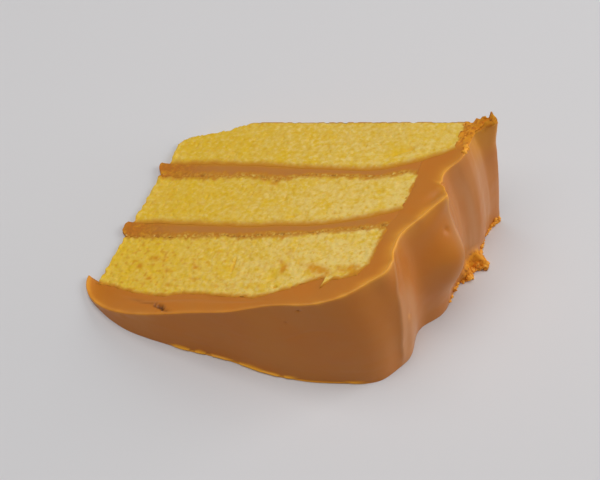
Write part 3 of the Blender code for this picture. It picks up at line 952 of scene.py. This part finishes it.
def sponge_material(colours):
    """Cut sponge: cell walls and pores from noise drawn out along the layers, painted shade in its
    hollows, deeper patches, painted light that makes the outer end and the top layer paler, and
    caramel soaked in at the borders."""
    look = Finish("sponge crumb")
    place = look.place()
    drawn = look.add("Mapping", {"Vector": place, "Scale": (0.78, 1.0, 1.0)}).outputs["Vector"]
    broad = look.noise(place, 95.0, 3.0)
    patch = look.noise(drawn, 240.0)
    cells = look.noise(drawn, 760.0)
    grain = look.noise(drawn, 1250.0)
    base = look.blend(look.remap(broad, 0.38, 0.66, 0.0, 0.5), colours.crumb, colours.crumb_deep)
    # Painted light: the outer end and the top layer drawn paler
    base = look.over(base, "pale", colours.crumb_pale)
    base = look.blend(look.remap(patch, 0.46, 0.68, 0.0, 0.75), base, colours.crumb_deep)
    base = look.blend(look.remap(cells, 0.5, 0.7, 0.0, 0.9), base, colours.crumb_pale)
    base = look.blend(look.remap(cells, 0.46, 0.28, 0.0, 0.85), base, colours.pore)
    base = look.blend(look.remap(grain, 0.44, 0.28, 0.0, 0.5), base, colours.pore)
    # Painted shade: the shaded pore colour where the crumb's surface sinks
    hollow = look.remap(look.value("height"), -0.15, -0.6, 0.0, 0.5)
    base = look.blend(hollow, base, colours.pore)
    base = look.over(base, "deep", colours.crumb_deep, 0.75)
    base = look.over(base, "tinge", colours.gold_soak, 0.6)
    base = look.over(base, "stain", colours.gold_soak, 0.9)
    worn = look.maths("MULTIPLY", look.value("crust"), look.remap(broad, 0.25, 0.5, 0.6, 1.0))
    base = look.blend(worn, base, colours.crust)
    base = look.over(base, "soak", colours.soaked)
    shine = {"Roughness": 0.85, "Specular IOR Level": 0.25, **glowing(0.15, 2.0, 1.2, 0.4)}
    return look.finish(base, cells, 0.12, 0.2, shine)


def filling_material(colours):
    """Caramel filling: a smooth core that fades into soaked crumb, ragged on its upper side."""
    look = Finish("caramel filling")
    place = look.place()
    mottle = look.noise(place, 420.0, 3.0, 0.6)
    fleck = look.noise(place, 900.0, 2.0, 0.6)
    grain = look.noise(place, 1400.0)
    ragged = look.value("crumbly")
    core = look.blend(look.remap(mottle, 0.35, 0.7, 0.0, 0.4), colours.filling, colours.icing_cut)
    base = look.blend(look.value("core", 0.9), colours.soaked, core)
    crumb = look.maths("MULTIPLY", ragged, look.remap(fleck, 0.45, 0.6, 0.0, 0.7))
    base = look.blend(crumb, base, colours.crumb)
    dark = look.maths("MULTIPLY", ragged, look.remap(mottle, 0.47, 0.36, 0.0, 0.8))
    base = look.blend(dark, base, colours.dark)
    base = look.over(base, "end", colours.icing_cut, 0.8)
    thin = look.blend(look.remap(mottle, 0.47, 0.66), colours.amber, colours.gold_soak)
    thin = look.blend(look.remap(fleck, 0.62, 0.42, 0.1, 0.45), thin, colours.dark)
    base = look.over(base, "tip", thin)
    base = look.over(base, "bits", colours.crumb_pale, 0.6)
    rough_core = look.remap(look.value("core"), 0.0, 1.0, 0.8, 0.55)
    shine = {"Roughness": rough_core, "Specular IOR Level": 0.3, **glowing(0.1, 2.0, 1.0, 0.3)}
    return look.finish(base, grain, 0.3, 0.15, shine)


def icing_material(colours):
    """Caramel icing: satin outside with painted sheen, more orange where cut, golden where thin with
    a painted highlight along the cut edge, crumbly if torn.
    """
    look = Finish("caramel icing")
    place = look.place()
    mottle = look.noise(place, 70.0, 4.0, 0.55)
    grain = look.noise(place, 900.0, 3.0, 0.6)
    crumbly = look.noise(place, 700.0, 2.0, 0.6)
    outside = look.blend(look.remap(mottle, 0.4, 0.65, 0.0, 0.3), colours.icing, colours.filling)
    # Painted sheen and highlight, with some smear
    outside = look.over(outside, "sheen_and_smear", colours.sheen_and_smear)
    # Painted light as well as thin caramel: the rear flare lightened towards golden soak
    outside = look.over(outside, "thin", colours.gold_soak, 0.6)
    cloudy = look.remap(mottle, 0.42, 0.6, 0.0, 0.35)
    inside = look.blend(cloudy, colours.icing_cut, colours.filling)
    inside = look.over(inside, "tip", colours.amber, 0.9)
    # Painted highlight along the seam of the cut face
    inside = look.over(inside, "sheen_and_smear", colours.sheen_and_smear, 0.6)
    base = look.over(outside, "cut", inside)
    base = look.over(base, "soak", colours.amber, 0.8)
    # Golden edge with its painted highlight
    base = look.over(base, "gold_and_highlight", colours.gold_and_highlight, 0.9)
    base = look.over(base, "sliver", colours.sliver)
    crumb_tone = look.blend(look.remap(crumbly, 0.36, 0.54), colours.amber, colours.crumb_gold)
    crumb_tone = look.blend(look.remap(crumbly, 0.34, 0.3), crumb_tone, colours.dark)
    base = look.over(base, "crumb", crumb_tone)
    # Painted shade in the hole and the streak
    base = look.over(base, "pit", colours.hole)
    gloss = look.remap(mottle, 0.35, 0.7, 0.42, 0.33)
    shine = {
        "Roughness": look.maths("MAXIMUM", gloss, look.value("crumb", 0.8)),
        "Specular IOR Level": 0.27,
        "Sheen Weight": 0.08,
        "Sheen Roughness": 0.25,
        "Sheen Tint": (1.0, 0.88, 0.8, 1.0),
        **glowing(0.1, 2.2, 0.9, 0.3),
    }
    return look.finish(base, grain, 0.12, 0.12, shine)


def crumb_material(colours):
    """Crumbs coated with caramel, each with its own tone."""
    look = Finish("golden crumbs")
    grain = look.noise(look.place(), 1300.0, 3.0, 0.6)
    base = look.blend(look.remap(look.value("tone"), 0.2, 1.0), colours.sliver, colours.crumb_gold)
    base = look.blend(look.remap(grain, 0.42, 0.3, 0.0, 0.5), base, colours.dark)
    return look.finish(base, grain, 0.5, 0.2, {"Roughness": 0.7})


def slice_form(context):
    """The form from the scene's sizes."""
    return SliceForm(context.scene.cake_slice_sizes)


class CAKE_OT_sponge(bpy.types.Operator):
    """Make the three layers of sponge"""

    bl_idname = "cake_slice.sponge"
    bl_label = "Sponge layers"

    def execute(self, context):
        form = slice_form(context)
        material = sponge_material(context.scene.cake_slice_colours)
        middle_end = form.layer_end(form.middle_bottom, form.middle_top)
        upper_end = form.layer_end(form.upper_bottom, form.upper_top)
        base = (form.base_bottom, form.base_top, lambda w: np.full_like(w, BASE_END), False)
        middle = (form.middle_bottom, form.middle_top, middle_end, False)
        upper = (form.upper_bottom, form.upper_top, upper_end, True)
        sponge_layer(form, "base_layer", BASE_CELLS, base, "sponge_base", material, 100)
        sponge_layer(form, "middle_layer", LAYER_CELLS, middle, "sponge_middle", material, 200)
        sponge_layer(form, "top_layer", LAYER_CELLS, upper, "sponge_top", material, 300)
        return {"FINISHED"}


class CAKE_OT_filling(bpy.types.Operator):
    """Make the two caramel fillings"""

    bl_idname = "cake_slice.filling"
    bl_label = "Caramel fillings"

    def execute(self, context):
        form = slice_form(context)
        material = filling_material(context.scene.cake_slice_colours)
        lower = (form.base_top, form.middle_bottom)
        upper = (form.middle_top, form.upper_bottom)
        blunt_tongue = (0.45 * MM, 3.1 * MM, 0.9 * MM)
        pointed_tongue = (-0.6 * MM, 1.6 * MM, 1.6 * MM)
        filling_band(form, "lower_filling", lower, blunt_tongue, "filling_lower", material, 400)
        filling_band(form, "upper_filling", upper, pointed_tongue, "filling_upper", material, 420)
        return {"FINISHED"}


class CAKE_OT_icing(bpy.types.Operator):
    """Make the caramel icing"""

    bl_idname = "cake_slice.icing"
    bl_label = "Caramel icing"

    def execute(self, context):
        material = icing_material(context.scene.cake_slice_colours)
        icing_shell(slice_form(context), "caramel_icing", material)
        return {"FINISHED"}


class CAKE_OT_crumbs(bpy.types.Operator):
    """Make the crumbs that cling to the rim beside the floor and to the torn upper corner"""

    bl_idname = "cake_slice.crumbs"
    bl_label = "Loose crumbs"

    def execute(self, context):
        form = slice_form(context)
        material = crumb_material(context.scene.cake_slice_colours)
        draw = np.random.default_rng(7)
        self.rim(form, material, draw, context.scene.cake_slice_sizes.crumb_count)
        self.corner(form, material, draw)
        return {"FINISHED"}

    def rim(self, form, material, draw, count):
        """Crumbs gathered along the rim beside the floor, low on the icing's outside."""
        chosen = draw.choice(len(RIM_PLACES), count, p=RIM_CHANCES)
        b = MM * np.array(RIM_PLACES)[chosen] + draw.normal(0.0, 1.3 * MM, count)
        b = np.clip(b, 0.2 * MM, None)
        s = np.abs(draw.normal(0.0, 0.022, count))
        radii = (0.26 + 0.6 * draw.random(count) ** 2) * MM
        r, k = form.outer(b, s, fine=False)
        centres = form.place(r + 0.1 * radii, k, s)
        centres[:, 2] = np.maximum(centres[:, 2], 0.7 * radii)
        centres[:, :2] = np.minimum(centres[:, :2], CAD_HIGH[:2] - radii[:, None])
        crumb_heap("rim_crumbs", centres, radii, material, 500)

    def corner(self, form, material, draw):
        """Crumbs strewn over the torn upper corner, and a blob of them at its end."""
        count, blob_count = CORNER_CRUMBS, BLOB_CRUMBS
        share = draw.random(count)
        r = 105.4 * MM + 9.0 * MM * share + draw.normal(0.0, 0.5 * MM, count)
        k = np.abs(1.2 * MM + 9.0 * MM * (1.0 - share) ** 1.2 * draw.random(count))
        radii = (0.22 + 0.4 * draw.random(count) ** 2) * MM
        blob = 11.8 * MM + draw.normal(0.0, 1.0 * MM, blob_count)
        blob_r, blob_k = form.outer(blob, np.ones(blob_count), fine=False)
        blob_k = blob_k - 0.4 * MM * draw.random(blob_count)
        radii = np.append(radii, (0.35 + 0.4 * draw.random(blob_count)) * MM)
        r, k = np.append(r, blob_r - 0.5 * MM), np.append(k, blob_k)
        centres = form.place(r, np.maximum(k, radii), np.ones(len(r)))
        centres[:, 2] = np.minimum(centres[:, 2], CAD_HIGH[2] - radii)
        crumb_heap("corner_crumbs", centres, radii, material, 520)


class CAKE_OT_stage(bpy.types.Operator):
    """Make the pale floor, the soft lights and the camera"""

    bl_idname = "cake_slice.stage"
    bl_label = "Stage"

    def execute(self, context):
        scene = context.scene
        settings = scene.cake_slice_stage
        self.floor(scene)
        world = bpy.data.worlds.new("soft daylight")
        world.use_nodes = True
        sky = world.node_tree.nodes["Background"]
        sky.inputs["Color"].default_value = (1.0, 0.99, 0.985, 1.0)
        sky.inputs["Strength"].default_value = settings.daylight
        scene.world = world
        self.lamp(scene, "soft light above", KEY_PLACE, settings.key_power)
        self.lamp(scene, "soft light beside", SIDE_PLACE, settings.side_power)
        self.camera(scene, settings)
        scene.view_settings.view_transform = "Standard"
        return {"FINISHED"}

    def floor(self, scene):
        """A wide, pale, dull square."""
        look = Finish("pale floor")
        tone = (*scene.cake_slice_colours.floor, 1.0)
        look.fill(look.shader, {"Base Color": tone, "Roughness": 0.8, "Specular IOR Level": 0.2})
        mesh = bpy.data.meshes.new("floor")
        turns = ((-1, -1), (1, -1), (1, 1), (-1, 1))
        corners = [(x * FLOOR_REACH, y * FLOOR_REACH, 0.0) for x, y in turns]
        mesh.from_pydata(corners, [], [(0, 1, 2, 3)])
        mesh.materials.append(look.material)
        floor = bpy.data.objects.new("floor", mesh)
        scene.collection.objects.link(floor)
        floor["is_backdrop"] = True

    def lamp(self, scene, name, place, power):
        """A square area light that looks at the slice."""
        data = bpy.data.lights.new(name, "AREA")
        data.shape = "SQUARE"
        data.size = LIGHT_SIZE
        data.energy = power
        made = bpy.data.objects.new(name, data)
        made.location = place
        made.rotation_euler = (-Vector(place)).to_track_quat("-Z", "Y").to_euler()
        scene.collection.objects.link(made)

    def camera(self, scene, settings):
        """The camera at its turn and height angle round the slice, looking at its middle."""
        data = bpy.data.cameras.new("view")
        data.sensor_width = 36.0
        data.sensor_fit = "HORIZONTAL"
        data.lens = settings.lens
        data.clip_start = 0.01
        data.clip_end = 20.0
        camera = bpy.data.objects.new("view", data)
        turn, rise = settings.azimuth, settings.elevation
        level = math.cos(rise)
        back = Vector((math.sin(turn) * level, -math.cos(turn) * level, math.sin(rise)))
        right = Vector((math.cos(turn), math.sin(turn), 0.0))
        axes = Matrix((right, back.cross(right), back)).transposed().to_4x4()
        target = Vector(LOOK_AT)
        camera.matrix_world = Matrix.Translation(target + back * settings.distance) @ axes
        scene.collection.objects.link(camera)
        scene.camera = camera


class CAKE_PT_slice(bpy.types.Panel):
    """Lists what makes the slice"""

    bl_idname = "CAKE_PT_slice"
    bl_label = "Cake slice"
    bl_space_type = "VIEW_3D"
    bl_region_type = "UI"
    bl_category = "Cake slice"

    def draw(self, context):
        for group in SETTINGS:
            box = self.layout.box()
            settings = getattr(context.scene, group)
            for key in settings.__annotations__:
                box.prop(settings, key)
        for operator in OPERATORS:
            self.layout.operator(operator.bl_idname)


SETTINGS = {
    "cake_slice_sizes": SliceSizes,
    "cake_slice_colours": SliceColours,
    "cake_slice_stage": StageSettings,
}
OPERATORS = (CAKE_OT_sponge, CAKE_OT_filling, CAKE_OT_icing, CAKE_OT_crumbs, CAKE_OT_stage)


def register():
    for kind in (*SETTINGS.values(), *OPERATORS, CAKE_PT_slice):
        bpy.utils.register_class(kind)
    for name, kind in SETTINGS.items():
        setattr(bpy.types.Scene, name, PointerProperty(type=kind))


def unregister():
    for name in SETTINGS:
        delattr(bpy.types.Scene, name)
    for kind in (CAKE_PT_slice, *OPERATORS, *SETTINGS.values()):
        bpy.utils.unregister_class(kind)


def main():
    register()
    bpy.ops.cake_slice.stage()
    bpy.ops.cake_slice.sponge()
    bpy.ops.cake_slice.filling()
    bpy.ops.cake_slice.icing()
    bpy.ops.cake_slice.crumbs()
    bpy.context.view_layer.update()


if __name__ == "__main__":
    main()
